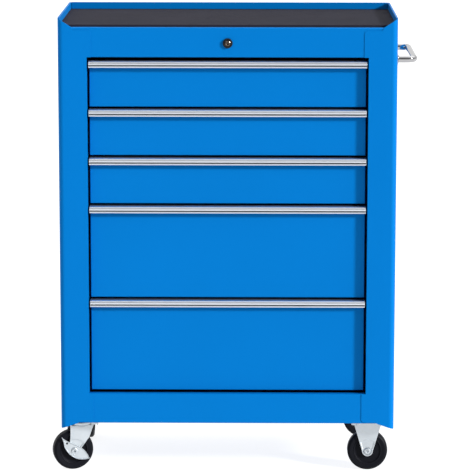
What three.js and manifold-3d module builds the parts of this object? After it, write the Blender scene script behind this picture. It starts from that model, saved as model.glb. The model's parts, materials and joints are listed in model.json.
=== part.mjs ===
// Rolling tool chest: a folded sheet-steel cabinet with five drawers on slides, a matted top tray,
// one lock that bars every drawer, a side push handle, two fixed and two braked swivel castors.
// Millimetres. +Z is up, the drawers face -Y and the push handle is on the +X side.
// While it is being built, X = 0 is the cabinet's middle, Y = 0 the front of the corner posts and
// Z = 0 the floor. The last lines move the origin under the middle of the whole chest.

import * as THREE from 'three';
import { mergeVertices } from 'three/addons/utils/BufferGeometryUtils.js';
import Module from 'manifold-3d';

const wasm = await Module();
wasm.setup();

// ---- driving dimensions ------------------------------------------------------------------------

const GAP = 0.3; // air between two pieces that touch
const SHEET = 0.8; // cabinet and drawer steel

const CABINET = {
  halfWidth: 308,
  depth: 330,
  bottom: 86, // lowest corner of the side panels
  railBottom: 97, // underside of the cabinet floor and of the lower front rail
  openingBottom: 153,
  openingTop: 777,
  trayLip: 831, // front edge of the top tray
  top: 848,
  halfOpening: 255.5,
  tab: 8, // how far a post laps over the rails above and below the opening
  cornerRadius: 10,
};

const POST = {
  frontReturn: 45,
  rearReturn: 30,
  topSlopeWidth: 26.5,
  bottomSlopeWidth: 32,
  rearRadius: 6,
};

const RAIL = { flange: 13, topBend: 2.5, bend: 2, endClearance: 2 }; // the two front rails

const HEM = { width: 3.3, backWidth: 4.4, depth: 12.4 }; // rolled rim of the top tray

const MAT = { thickness: 5, inset: 3.3 };

const FLOOR_FLANGE = 15; // height of the cabinet floor's turned-up edges

const BACK = { inset: 12, bottom: 92 }; // the back panel laps over the rear posts

const DRAWER = {
  faceHalfWidth: 251.5,
  faceY: 14, // how far the faces stand behind the posts
  topGap: 7, // between the top rail and the first pull
  gap: 4.5, // between one face and the next
  smallPitch: 89,
  largePitch: 175,
  smallCount: 3,
  largeCount: 2,
  flange: 12,
  boxHalfWidth: 242,
  boxBack: 306,
  floorRise: 6, // from the bottom of the face to the drawer floor
  wallDrop: 10, // from the top of the face to the drawer walls
};

const PULL = { halfWidth: 252.5, height: 12.5, wall: 1.5, frontY: 1.5, backY: 26, lip: 3, radius: 5 };

const SLIDE = {
  railFront: 27,
  railBack: 317,
  railHeight: 35,
  railDepth: 9.2,
  lip: 3.5,
  runnerFront: 16,
  runnerBack: 314,
  runnerHeight: 24,
  runnerDepth: 7.7,
  wall: 1.2,
};

const LOCK = {
  height: 803,
  barrelRadius: 7.5,
  barrelBack: 22,
  bezelRadius: 9,
  bezelDepth: 4,
  plugRadius: 5,
  plugFront: -4.5,
  plugBack: 26,
  keyHalfWidth: 0.9,
  keyHalfHeight: 3.2,
  keyDepth: 12,
  nutRadius: 13,
  nutDepth: 4,
};

const LOCK_GEAR = {
  travel: 8, // how far a quarter turn of the key lowers the bar
  rodRadius: 3,
  rodBack: 306,
  crankThickness: 3,
  crankMargin: 2.5,
  pinRadius: 1.5,
  barY: 309.5,
  barHalfWidth: 6,
  barThickness: 2,
  slotLeft: 1.4,
  slotRight: 8.4,
  slotHalfHeight: 2,
  headHalfHeight: 6,
  hookReach: 15,
  hookRise: 3, // from the top of a drawer's wall to the open hook
};

const HANDLE = {
  height: 768.5,
  frontY: 57,
  backY: 273,
  radius: 6.25,
  reach: 39.5,
  bend: 18,
  footRadius: 11,
  footThickness: 3,
};

const CASTOR = {
  fixedX: 261,
  swivelX: -275,
  frontY: 45,
  rearY: 295,
  plateThickness: 2.5,
  plateHalfX: 31.5,
  plateHalfY: 29,
  legInner: 13.5,
  legThickness: 2,
};

const WHEEL = { radius: 37.5, halfWidth: 12 };

const AXLE = { radius: 4, clearance: 0.4, headRadius: 6, head: 2.5 };

const FIXED_LEG = { halfTop: 27.5, endRadius: 10 };

const FORK = {
  top: 86,
  crown: 2,
  halfTop: 22,
  knee: [13.7, 62.7], // where the leg's rear edge starts to slant more
  endRadius: 10,
  raceRadius: 22,
  raceHeight: 5,
  raceGap: 0.6,
  pinRadius: 5,
  pinHeadRadius: 9,
  pinHead: 3,
  trail: 15, // from the king pin to the wheel's axle
  frontTurn: 15, // degrees that each swivel castor stands turned
  rearTurn: 90,
};

const BRAKE = { thickness: 2, eyeRadius: 2, eyeX: -14.2, eyeZ: 14.6 };

// ---- materials ---------------------------------------------------------------------------------

const FINISH = {
  paint: { color: 0x0180d4, roughness: 0.35, metalness: 0.1 },
  rubber: { color: 0x3c3f49, roughness: 0.9, metalness: 0 },
  aluminium: { color: 0xc4c8d4, roughness: 0.3, metalness: 1 },
  chrome: { color: 0xe8e8ea, roughness: 0.06, metalness: 1 },
  zinc: { color: 0xb9c6d2, roughness: 0.35, metalness: 0.9 },
  blackPaint: { color: 0x17181b, roughness: 0.4, metalness: 0.2 },
  tyre: { color: 0x232327, roughness: 0.55, metalness: 0 },
};

const chest = new THREE.Group();

// ---- solids: closed shapes that can be joined and cut ------------------------------------------

function solidOf(geometry) {
  const bare = geometry.index ? geometry.toNonIndexed() : geometry.clone();
  bare.deleteAttribute('normal');
  bare.deleteAttribute('uv');
  const merged = mergeVertices(bare, 1e-4);
  const mesh = new wasm.Mesh({
    numProp: 3,
    vertProperties: new Float32Array(merged.attributes.position.array),
    triVerts: new Uint32Array(merged.index.array),
  });
  return new wasm.Manifold(mesh);
}

function geometryOf(solid) {
  const mesh = solid.getMesh();
  const geometry = new THREE.BufferGeometry();
  geometry.setAttribute('position', new THREE.BufferAttribute(mesh.vertProperties, 3));
  geometry.setIndex(new THREE.BufferAttribute(mesh.triVerts, 1));
  geometry.computeVertexNormals();
  return geometry;
}

function join(solids) {
  return solids.reduce((whole, solid) => whole.add(solid));
}

// A box between exact coordinates, so that boxes that share a face join without a sliver.
function block([x0, x1], [y0, y1], [z0, z1]) {
  const geometry = new THREE.BoxGeometry(2, 2, 2);
  const corner = geometry.attributes.position;
  for (let i = 0; i < corner.count; i += 1) {
    const x = corner.getX(i) < 0 ? x0 : x1;
    const y = corner.getY(i) < 0 ? y0 : y1;
    const z = corner.getZ(i) < 0 ? z0 : z1;
    corner.setXYZ(i, x, y, z);
  }
  return solidOf(geometry);
}

// An outline drawn in two of the three axes, extruded along the third.
const DRAWN = {
  x: new THREE.Matrix4().makeBasis(
    new THREE.Vector3(0, 1, 0), new THREE.Vector3(0, 0, 1), new THREE.Vector3(1, 0, 0)),
  y: new THREE.Matrix4().makeBasis(
    new THREE.Vector3(-1, 0, 0), new THREE.Vector3(0, 0, 1), new THREE.Vector3(0, 1, 0)),
  z: new THREE.Matrix4(),
};

function prism(shape, along, [from, to], curveSegments = 5) {
  const geometry = new THREE.ExtrudeGeometry(shape, {
    depth: to - from, bevelEnabled: false, steps: 1, curveSegments,
  });
  geometry.translate(0, 0, from);
  geometry.applyMatrix4(DRAWN[along]);
  return solidOf(geometry);
}

function outline(points) {
  return new THREE.Shape(points.map(([u, v]) => new THREE.Vector2(u, v)));
}

// A round bar or ring along Y, from y0 to y1, centred at x and z.
function disc(radius, [y0, y1], [x, z] = [0, 0], sides = 16) {
  const geometry = new THREE.CylinderGeometry(radius, radius, y1 - y0, sides);
  geometry.translate(x, (y0 + y1) / 2, z);
  return solidOf(geometry);
}

// The same, standing upright from z0 to z1.
function post(radius, [z0, z1], [x, y] = [0, 0], sides = 20) {
  const geometry = new THREE.CylinderGeometry(radius, radius, z1 - z0, sides);
  geometry.rotateX(Math.PI / 2);
  geometry.translate(x, y, (z0 + z1) / 2);
  return solidOf(geometry);
}

// The section of a folded sheet: its outer face follows the corners, with a bend of the given
// radius at each, and its thickness lies to the left of the way they run.
function foldedSheet(corners, radii, thickness, steps = 5) {
  const corner = corners.map(([u, v]) => new THREE.Vector2(u, v));
  const outer = [];
  const inner = [];
  const put = (point, normal) => {
    outer.push(point);
    inner.unshift(point.clone().addScaledVector(normal, thickness));
  };
  const way = (i) => corner[i + 1].clone().sub(corner[i]).normalize();
  const leftOf = (direction) => new THREE.Vector2(-direction.y, direction.x);
  put(corner[0], leftOf(way(0)));
  for (let i = 1; i < corner.length - 1; i += 1) {
    const before = way(i - 1);
    const after = way(i);
    const turn = Math.atan2(before.cross(after), before.dot(after));
    const radius = radii[i - 1];
    const side = Math.sign(turn);
    const start = corner[i].clone().addScaledVector(before, -radius * Math.tan(Math.abs(turn) / 2));
    const centre = start.clone().addScaledVector(leftOf(before), side * radius);
    for (let k = 0; k <= steps; k += 1) {
      const normal = leftOf(before).rotateAround(new THREE.Vector2(), (turn * k) / steps);
      put(centre.clone().addScaledVector(normal, -side * radius), normal);
    }
  }
  const last = corner.length - 1;
  put(corner[last], leftOf(way(last - 1)));
  return new THREE.Shape([...outer, ...inner]);
}

function place(name, solid, finish, group = chest) {
  const mesh = new THREE.Mesh(geometryOf(solid), new THREE.MeshStandardMaterial(FINISH[finish]));
  mesh.name = name;
  group.add(mesh);
  return mesh;
}

const mirrored = (solid) => solid.mirror([1, 0, 0]);

// A hole right through along Y, with running clearance round a piece of the given radius.
function through(radius, centre, clearance = GAP) {
  return disc(radius + clearance, [-100, 100], centre);
}

// ---- cabinet -----------------------------------------------------------------------------------

const REAR_Y = CABINET.depth - SHEET - GAP; // outer face of the rear posts, behind the back panel
const RAIL_Y = SHEET + GAP; // front of the rails, behind the posts' tabs
const TRAY_FLOOR = CABINET.trayLip - SHEET - GAP; // upper side of the tray floor
const UPSTAND_TOP = CABINET.top - SHEET - 2 * GAP;
const lockCentre = [0, LOCK.height];
const CRANK_RISE = LOCK_GEAR.travel / 2; // how far the crank's pin stands above the rod and beside it

// One side with its posts: a sheet folded round the front corner into the front post and round the
// rear corner into the rear post. Drawn for the right side.
function sidePanel() {
  const { halfWidth, halfOpening, bottom, top, tab, trayLip, railBottom, cornerRadius } = CABINET;
  const tall = [bottom, top];
  const wrap = foldedSheet(
    [[halfOpening - tab, 0], [halfWidth, 0], [halfWidth, REAR_Y], [halfOpening, REAR_Y]],
    [cornerRadius, POST.rearRadius], SHEET);
  const nearFront = [-SHEET, cornerRadius];
  const nearRear = [REAR_Y - 2 * SHEET, REAR_Y + SHEET];
  const farOut = halfOpening - 2 * tab;
  const opening = block(
    [farOut, halfOpening], nearFront, [CABINET.openingBottom, CABINET.openingTop]);
  const topSlope = outline([
    [-halfWidth, top], [-halfWidth + POST.topSlopeWidth, trayLip], [-farOut, trayLip],
    [-farOut, top + SHEET], [-halfWidth, top + SHEET]]);
  const bottomSlope = outline([
    [-halfWidth, bottom], [-halfWidth + POST.bottomSlopeWidth, railBottom], [-farOut, railBottom],
    [-farOut, bottom - SHEET], [-halfWidth, bottom - SHEET]]);
  const rimSeat = block(
    [farOut, halfWidth - HEM.width - GAP], nearRear, [UPSTAND_TOP, top + SHEET]);
  const frontReturn = block(
    [halfOpening, halfOpening + SHEET], [0, POST.frontReturn],
    [CABINET.openingBottom + GAP, CABINET.openingTop - GAP]);
  const rearReturn = block(
    [halfOpening, halfOpening + SHEET], [REAR_Y - POST.rearReturn, REAR_Y],
    [railBottom + SHEET + GAP, TRAY_FLOOR - SHEET - GAP]);
  const rimLength = [cornerRadius, REAR_Y - POST.rearRadius];
  const rim = join([
    block([halfWidth - HEM.width, halfWidth], rimLength, [top - SHEET, top]),
    block(
      [halfWidth - HEM.width, halfWidth - HEM.width + SHEET], rimLength, [top - HEM.depth, top])]);
  return prism(wrap, 'z', tall)
    .subtract(join([
      opening, prism(topSlope, 'y', nearFront), prism(bottomSlope, 'y', nearFront), rimSeat]))
    .add(join([frontReturn, rearReturn, rim]));
}

function topRail() {
  const section = foldedSheet(
    [[RAIL.flange, CABINET.trayLip], [RAIL_Y, CABINET.trayLip],
      [RAIL_Y, CABINET.openingTop], [DRAWER.faceY, CABINET.openingTop]],
    [RAIL.topBend, RAIL.bend], SHEET);
  const reach = CABINET.halfWidth - CABINET.cornerRadius - RAIL.endClearance;
  return prism(section, 'x', [-reach, reach]).subtract(through(LOCK.barrelRadius, lockCentre));
}

function bottomRail() {
  const section = foldedSheet(
    [[DRAWER.faceY, CABINET.openingBottom], [RAIL_Y, CABINET.openingBottom],
      [RAIL_Y, CABINET.railBottom], [RAIL.flange, CABINET.railBottom]],
    [RAIL.bend, RAIL.bend], SHEET);
  const reach = CABINET.halfWidth - CABINET.cornerRadius - RAIL.endClearance;
  return prism(section, 'x', [-reach, reach]);
}

// The floor of the tray on top, turned up at the sides and the back inside the rolled rim.
function topPanel() {
  const half = CABINET.halfWidth - SHEET - 2 * GAP;
  const back = REAR_Y - SHEET - 2 * GAP;
  const front = CABINET.cornerRadius + GAP;
  const notch = POST.rearRadius; // leaves room for the rear posts' bends
  const floor = [TRAY_FLOOR - SHEET, TRAY_FLOOR];
  const upstand = [TRAY_FLOOR - SHEET, UPSTAND_TOP];
  return join([
    block([-half, half], [front, back - notch], floor),
    block([-half + notch, half - notch], [front, back], floor),
    block([-half + notch, half - notch], [back - SHEET, back], upstand),
    block([half - SHEET, half], [front, back - notch], upstand),
    block([-half, -half + SHEET], [front, back - notch], upstand)]);
}

function bottomPanel() {
  const half = CABINET.halfWidth - SHEET - GAP;
  const back = REAR_Y - SHEET - GAP;
  const front = RAIL.flange + GAP;
  const notch = POST.rearRadius;
  const floor = [CABINET.railBottom, CABINET.railBottom + SHEET];
  const flange = [CABINET.railBottom, CABINET.railBottom + FLOOR_FLANGE];
  return join([
    block([-half, half], [front, back - notch], floor),
    block([-half + notch, half - notch], [front, back], floor),
    block([half - SHEET, half], [front, back - notch], flange),
    block([-half, -half + SHEET], [front, back - notch], flange)]);
}

function backPanel() {
  const half = CABINET.halfWidth - BACK.inset;
  const rimHalf = CABINET.halfWidth - HEM.width - 2 * GAP;
  const { depth, top } = CABINET;
  const rimFront = depth - HEM.backWidth;
  return join([
    block([-half, half], [depth - SHEET, depth], [BACK.bottom, top]),
    block([-rimHalf, rimHalf], [rimFront, depth], [top - SHEET, top]),
    block([-rimHalf, rimHalf], [rimFront, rimFront + SHEET], [top - HEM.depth, top])]);
}

function trayMat() {
  const half = CABINET.halfWidth - MAT.inset;
  const back = CABINET.depth - HEM.backWidth - GAP;
  return block(
    [-half, half], [RAIL.flange + GAP, back], [TRAY_FLOOR + GAP, TRAY_FLOOR + GAP + MAT.thickness]);
}

place('side_panel_right', sidePanel(), 'paint');
place('side_panel_left', mirrored(sidePanel()), 'paint');
place('front_top_rail', topRail(), 'paint');
place('front_bottom_rail', bottomRail(), 'paint');
place('top_panel', topPanel(), 'paint');
place('bottom_panel', bottomPanel(), 'paint');
place('back_panel', backPanel(), 'paint');
place('tray_mat', trayMat(), 'rubber');

// ---- drawers and slides ------------------------------------------------------------------------

// A drawer is one welded piece: a face folded back along its four edges, and a box of floor, sides
// and back whose front edges are sunk half a sheet into the face.
function drawerBox(faceBottom, faceTop) {
  const { faceHalfWidth, faceY, flange, boxHalfWidth, boxBack, floorRise, wallDrop } = DRAWER;
  const beyond = 10; // lets a cut run clear of the sheet
  const spread = (half) => [-half, half];
  const edgeTop = faceTop - PULL.wall - GAP; // the pull caps the top edge
  const face = block(spread(faceHalfWidth), [faceY, faceY + flange], [faceBottom, edgeTop]);
  const behindFace = block(
    spread(faceHalfWidth - SHEET), [faceY + SHEET, faceY + flange + beyond],
    [faceBottom + SHEET, edgeTop - SHEET]);
  const floor = faceBottom + floorRise;
  const wallTop = faceTop - wallDrop;
  const box = block(spread(boxHalfWidth), [faceY + SHEET / 2, boxBack], [floor, wallTop]);
  const inside = block(
    spread(boxHalfWidth - SHEET), [faceY - beyond, boxBack - SHEET], [floor + SHEET, wallTop + beyond]);
  return face.subtract(behindFace).add(box.subtract(inside));
}

// The extruded pull hooks over the top edge of the face and hangs down in front of it.
function pull(faceTop) {
  const { backY, frontY, height, lip, radius, wall, halfWidth } = PULL;
  const section = foldedSheet(
    [[backY, faceTop], [frontY, faceTop], [frontY, faceTop - height], [frontY + lip, faceTop - height]],
    [radius, wall], wall);
  return prism(section, 'x', [-halfWidth, halfWidth]);
}

const slideOuter = CABINET.halfOpening - GAP; // where the fixed rail meets the post
const runnerInner = DRAWER.boxHalfWidth + GAP; // where the runner meets the drawer

// Fixed half of a slide, a channel that opens towards the drawer. Drawn for the right side.
function slideRail(middle) {
  const { railDepth, railHeight, lip, wall } = SLIDE;
  const inner = slideOuter - railDepth;
  const half = railHeight / 2;
  const length = [SLIDE.railFront, SLIDE.railBack];
  const both = (x, [low, high]) => [
    block(x, length, [middle + low, middle + high]),
    block(x, length, [middle - high, middle - low])];
  return join([
    block([slideOuter - wall, slideOuter], length, [middle - half, middle + half]),
    ...both([inner, slideOuter], [half - wall, half]),
    ...both([inner, inner + wall], [half - lip, half])]);
}

// Moving half of a slide, a channel screwed to the drawer's side. Drawn for the right side.
function slideRunner(middle) {
  const { runnerDepth, runnerHeight, wall } = SLIDE;
  const half = runnerHeight / 2;
  const length = [SLIDE.runnerFront, SLIDE.runnerBack];
  const flange = [runnerInner, runnerInner + runnerDepth];
  return join([
    block([runnerInner, runnerInner + wall], length, [middle - half, middle + half]),
    block(flange, length, [middle + half - wall, middle + half]),
    block(flange, length, [middle - half, middle - half + wall])]);
}

const drawerTops = [];
let faceTop = CABINET.openingTop - DRAWER.topGap;
for (let number = 1; number <= DRAWER.smallCount + DRAWER.largeCount; number += 1) {
  const pitch = number <= DRAWER.smallCount ? DRAWER.smallPitch : DRAWER.largePitch;
  const faceBottom = faceTop - pitch + DRAWER.gap;
  const middle = (faceBottom + DRAWER.floorRise + faceTop - DRAWER.wallDrop) / 2;
  place(`drawer_${number}`, drawerBox(faceBottom, faceTop), 'paint');
  place(`drawer_pull_${number}`, pull(faceTop), 'aluminium');
  place(`slide_rail_${number}_right`, slideRail(middle), 'blackPaint');
  place(`slide_rail_${number}_left`, mirrored(slideRail(middle)), 'blackPaint');
  place(`slide_runner_${number}_right`, slideRunner(middle), 'blackPaint');
  place(`slide_runner_${number}_left`, mirrored(slideRunner(middle)), 'blackPaint');
  drawerTops.push(faceTop);
  faceTop -= pitch;
}

// ---- lock --------------------------------------------------------------------------------------

// The fixed housing: a bezel on the front of the rail and a threaded sleeve through it.
function lockBarrel() {
  const front = RAIL_Y - GAP - LOCK.bezelDepth;
  const bezel = disc(LOCK.bezelRadius, [front, RAIL_Y - GAP], lockCentre);
  const sleeve = disc(LOCK.barrelRadius, [front, LOCK.barrelBack], lockCentre);
  return bezel.add(sleeve).subtract(through(LOCK.plugRadius, lockCentre));
}

function lockNut() {
  const front = RAIL_Y + SHEET + GAP;
  const hexagon = disc(LOCK.nutRadius, [front, front + LOCK.nutDepth], lockCentre, 6);
  return hexagon.subtract(through(LOCK.barrelRadius, lockCentre));
}

// The part that the key turns, with a keyway in its front.
function lockPlug() {
  const { plugFront, keyHalfWidth, keyHalfHeight, keyDepth, height } = LOCK;
  const plug = disc(LOCK.plugRadius, [plugFront, LOCK.plugBack], lockCentre);
  const keyway = block(
    [-keyHalfWidth, keyHalfWidth], [plugFront - 1, plugFront + keyDepth],
    [height - keyHalfHeight, height + keyHalfHeight]);
  return plug.subtract(keyway);
}

// A rod that carries the turn to the back of the chest and ends in a crank. At rest the crank's pin
// stands 45 degrees above the rod, and a quarter turn takes it to 45 degrees below.
function lockRod() {
  const { rodRadius, rodBack, crankThickness, crankMargin, pinRadius, barY, barThickness } = LOCK_GEAR;
  const crankPin = [CRANK_RISE, LOCK.height + CRANK_RISE];
  const crankRadius = CRANK_RISE * Math.SQRT2 + crankMargin;
  return join([
    disc(rodRadius, [LOCK.plugBack + GAP, rodBack], lockCentre, 12),
    disc(crankRadius, [rodBack - crankThickness, rodBack], lockCentre, 16),
    disc(pinRadius, [rodBack - 1, barY + barThickness + 2], crankPin, 12)]);
}

// The upright bar behind the drawers. The crank lowers it, and its hooks drop inside the back wall
// of each drawer.
function lockBar() {
  const { barY, barThickness, barHalfWidth, travel, headHalfHeight, hookReach, hookRise } = LOCK_GEAR;
  const across = [-barHalfWidth, barHalfWidth];
  const sheet = [barY, barY + barThickness];
  const pinHeight = LOCK.height + CRANK_RISE;
  const head = [pinHeight - headHalfHeight, pinHeight + headHalfHeight];
  const hooks = drawerTops.flatMap((top) => {
    const tip = top - DRAWER.wallDrop + hookRise;
    const arm = tip + travel + barThickness;
    return [
      block(across, [barY - hookReach, barY + 1], [arm, arm + barThickness]),
      block(across, [barY - hookReach, barY - hookReach + barThickness], [tip, arm + 1])];
  });
  const slot = block(
    [LOCK_GEAR.slotLeft, LOCK_GEAR.slotRight], [barY - 1, barY + barThickness + 1],
    [pinHeight - LOCK_GEAR.slotHalfHeight, pinHeight + LOCK_GEAR.slotHalfHeight]);
  return join([
    block(across, sheet, [drawerTops.at(-1), head[1]]),
    block([-barHalfWidth, 2 * barHalfWidth], sheet, head),
    ...hooks]).subtract(slot);
}

place('lock_barrel', lockBarrel(), 'blackPaint');
place('lock_nut', lockNut(), 'zinc');
place('lock_plug', lockPlug(), 'chrome');
place('lock_rod', lockRod(), 'zinc');
place('lock_bar', lockBar(), 'zinc');

// ---- push handle -------------------------------------------------------------------------------

// One bent rod with a round foot at each end, on the right side.
function sideHandle() {
  const { height, frontY, backY, radius, reach, bend, footRadius, footThickness } = HANDLE;
  const wall = CABINET.halfWidth + GAP;
  const grip = CABINET.halfWidth + reach - radius;
  const at = (x, y) => new THREE.Vector3(x, y, height);
  const route = new THREE.CurvePath();
  route.add(new THREE.LineCurve3(at(wall, frontY), at(grip - bend, frontY)));
  route.add(new THREE.QuadraticBezierCurve3(
    at(grip - bend, frontY), at(grip, frontY), at(grip, frontY + bend)));
  route.add(new THREE.LineCurve3(at(grip, frontY + bend), at(grip, backY - bend)));
  route.add(new THREE.QuadraticBezierCurve3(
    at(grip, backY - bend), at(grip, backY), at(grip - bend, backY)));
  route.add(new THREE.LineCurve3(at(grip - bend, backY), at(wall, backY)));
  const section = new THREE.Shape().absarc(0, 0, radius, 0, 2 * Math.PI);
  const rod = new THREE.ExtrudeGeometry(section, { steps: 24, curveSegments: 6, extrudePath: route });
  const foot = (y) => {
    const geometry = new THREE.CylinderGeometry(footRadius, footRadius, footThickness, 20);
    geometry.rotateZ(Math.PI / 2);
    geometry.translate(wall + footThickness / 2, y, height);
    return solidOf(geometry);
  };
  return join([solidOf(rod), foot(frontY), foot(backY)]);
}

place('side_handle', sideHandle(), 'chrome');

// ---- castors -----------------------------------------------------------------------------------

// Each castor is drawn about its own upright axis, with X = Y = 0 there, and then put in its corner.
const PLATE_TOP = CABINET.railBottom - GAP;
const LEG_OUTER = CASTOR.legInner + CASTOR.legThickness;

const axleHole = (x) => through(AXLE.radius, [x, WHEEL.radius], AXLE.clearance);

// A moulded wheel: hub, sunken web, raised ring and a tread with round shoulders.
function wheel(x) {
  const { radius: r, halfWidth: w } = WHEEL;
  const side = [
    [AXLE.radius + AXLE.clearance, w], [11, w], [13, w - 2.5], [23.5, w - 3], [26, w - 0.8],
    [32.5, w - 0.5], [r - 1.3, w - 2.5], [r, w - 5.5]];
  const profile = [
    ...side.map(([radius, out]) => new THREE.Vector2(radius, -out)),
    ...side.toReversed().map(([radius, out]) => new THREE.Vector2(radius, out))];
  profile.push(profile[0].clone());
  const geometry = new THREE.LatheGeometry(profile, 24);
  geometry.translate(x, 0, r);
  return solidOf(geometry);
}

// A rivet through the legs. It reaches further at the front where it also holds a brake lever.
function axle(x, frontReach) {
  const centre = [x, WHEEL.radius];
  const { radius, headRadius, head } = AXLE;
  const backReach = LEG_OUTER + GAP;
  return join([
    disc(radius, [-frontReach - head / 2, backReach + head / 2], centre),
    disc(headRadius, [-frontReach - head, -frontReach], centre),
    disc(headRadius, [backReach, backReach + head], centre)]);
}

// The side of a leg: straight edges from the top down to a round end about the axle, with or without
// a knee on the way. X runs backwards in the outline because it is extruded along Y.
function legOutline([left, right], top, axleX, endRadius, knee = [right, top]) {
  const shape = new THREE.Shape();
  shape.moveTo(-knee[0], knee[1]);
  shape.lineTo(-right, top);
  shape.lineTo(-left, top);
  shape.lineTo(-axleX + endRadius, WHEEL.radius);
  shape.absarc(-axleX, WHEEL.radius, endRadius, 0, -Math.PI, true);
  shape.closePath();
  return shape;
}

function legPair(shape) {
  const front = prism(shape, 'y', [-LEG_OUTER, -CASTOR.legInner]);
  return front.add(prism(shape, 'y', [CASTOR.legInner, LEG_OUTER]));
}

function castorPlate() {
  const { plateHalfX, plateHalfY, plateThickness } = CASTOR;
  return block(
    [-plateHalfX, plateHalfX], [-plateHalfY, plateHalfY], [PLATE_TOP - plateThickness, PLATE_TOP]);
}

function fixedBracket() {
  const { halfTop, endRadius } = FIXED_LEG;
  const legs = legPair(legOutline([-halfTop, halfTop], PLATE_TOP, 0, endRadius));
  return castorPlate().add(legs).subtract(axleHole(0));
}

// Top plate of a swivel castor, with its upper race and the king pin that holds the fork.
function swivelPlate() {
  const { top, crown, raceRadius, raceHeight, raceGap, pinRadius, pinHeadRadius, pinHead } = FORK;
  const headTop = top - crown - GAP;
  return join([
    castorPlate(),
    post(raceRadius - 1, [top + raceHeight + raceGap, PLATE_TOP]),
    post(pinRadius, [headTop - pinHead / 2, PLATE_TOP]),
    post(pinHeadRadius, [headTop - pinHead, headTop])]);
}

function swivelFork() {
  const { top, crown, halfTop, knee, endRadius, raceRadius, raceHeight, pinRadius, trail } = FORK;
  const across = [-halfTop, halfTop];
  const legs = legPair(legOutline(across, top, -trail, endRadius, knee));
  const crownPlate = block(across, [-LEG_OUTER, LEG_OUTER], [top - crown, top]);
  const race = post(raceRadius, [top - 1, top + raceHeight]);
  return crownPlate.add(legs).add(race)
    .subtract(axleHole(-trail))
    .subtract(post(pinRadius + 2 * GAP, [top - 2 * crown, top + 2 * raceHeight]));
}

// A lens-shaped plate on the axle, in front of the fork, drawn with X running backwards.
function brakeLever() {
  const { thickness, eyeRadius, eyeX, eyeZ } = BRAKE;
  const back = -LEG_OUTER - GAP;
  const lens = new THREE.Shape();
  lens.moveTo(26.5, 29.8);
  lens.quadraticCurveTo(14, -25, -28, -16.1);
  lens.bezierCurveTo(-16, 16, 10, 9, 26.5, 29.8);
  return prism(lens, 'y', [back - thickness, back])
    .subtract(through(AXLE.radius, [0, 0], AXLE.clearance))
    .subtract(through(eyeRadius, [eyeX, eyeZ], 0))
    .translate([-FORK.trail, 0, WHEEL.radius]);
}

function corner(x, y) {
  const group = new THREE.Group();
  group.position.set(x, y, 0);
  chest.add(group);
  return group;
}

function fixedCastor(name, y) {
  const group = corner(CASTOR.fixedX, y);
  place(`${name}_bracket`, fixedBracket(), 'zinc', group);
  place(`${name}_wheel`, wheel(0), 'tyre', group);
  place(`${name}_axle`, axle(0, LEG_OUTER + GAP), 'zinc', group);
}

function swivelCastor(name, y, turn) {
  const group = corner(CASTOR.swivelX, y);
  const turned = new THREE.Group();
  turned.rotation.z = THREE.MathUtils.degToRad(turn);
  group.add(turned);
  place(`${name}_plate`, swivelPlate(), 'zinc', group);
  place(`${name}_fork`, swivelFork(), 'zinc', turned);
  place(`${name}_wheel`, wheel(-FORK.trail), 'tyre', turned);
  place(`${name}_axle`, axle(-FORK.trail, LEG_OUTER + 2 * GAP + BRAKE.thickness), 'zinc', turned);
  place(`${name}_brake_lever`, brakeLever(), 'zinc', turned);
}

fixedCastor('fixed_castor_front', CASTOR.frontY);
fixedCastor('fixed_castor_rear', CASTOR.rearY);
swivelCastor('swivel_castor_front', CASTOR.frontY, FORK.frontTurn);
swivelCastor('swivel_castor_rear', CASTOR.rearY, FORK.rearTurn);

// ---- origin under the middle of the chest, on the floor ----------------------------------------

const bounds = new THREE.Box3().setFromObject(chest, true);
const middle = bounds.getCenter(new THREE.Vector3());
chest.position.set(-middle.x, -middle.y, -bounds.min.z);
const standing = new THREE.Group();
standing.add(chest);

export default standing;
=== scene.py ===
"""Looks of a rolling tool chest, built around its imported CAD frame.

Metres, +Z up, the drawers open towards -Y and the push handle is on +X. Shapes are drawn in
millimetres and turned into metres where they are put in place.
"""

import json
import math

import bmesh
import bpy
from mathutils import Matrix, Vector


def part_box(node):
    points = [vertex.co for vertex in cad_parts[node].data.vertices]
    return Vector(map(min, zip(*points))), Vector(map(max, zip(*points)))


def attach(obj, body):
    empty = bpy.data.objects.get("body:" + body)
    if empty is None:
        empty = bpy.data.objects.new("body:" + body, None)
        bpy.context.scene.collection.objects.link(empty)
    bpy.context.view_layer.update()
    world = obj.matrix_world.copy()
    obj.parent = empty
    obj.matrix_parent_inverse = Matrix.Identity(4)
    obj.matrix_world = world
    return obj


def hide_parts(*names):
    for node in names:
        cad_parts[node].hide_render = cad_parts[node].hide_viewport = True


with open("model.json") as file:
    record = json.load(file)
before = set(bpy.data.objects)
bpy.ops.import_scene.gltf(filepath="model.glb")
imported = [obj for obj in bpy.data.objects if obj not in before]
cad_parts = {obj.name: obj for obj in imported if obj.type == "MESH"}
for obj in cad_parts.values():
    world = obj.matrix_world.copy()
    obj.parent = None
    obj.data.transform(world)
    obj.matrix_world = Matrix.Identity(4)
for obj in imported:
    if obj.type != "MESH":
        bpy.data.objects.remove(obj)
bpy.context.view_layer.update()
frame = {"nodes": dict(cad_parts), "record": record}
nodes = frame["nodes"]
record = frame["record"]

MM = 0.001
DRAWERS = range(1, 6)
ENDS = ("front", "rear")
SIDES = ("right", "left")
JOINTS = {joint["name"]: joint for joint in record["behaviour"]["joints"]}
SLOT_OF = {part["node"]: part["material_slot"] for part in record["subparts"]}
BODY_OF = {
    node: body
    for body, members in record["behaviour"]["bodies"].items()
    for node in members
}

# The cabinet's own middle and front, which the handle and the turned castors push off the origin.
left_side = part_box("side_panel_left")
right_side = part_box("side_panel_right")
MIDDLE_X = (left_side[0].x + right_side[1].x) / 2
FRONT_Y = left_side[0].y


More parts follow.
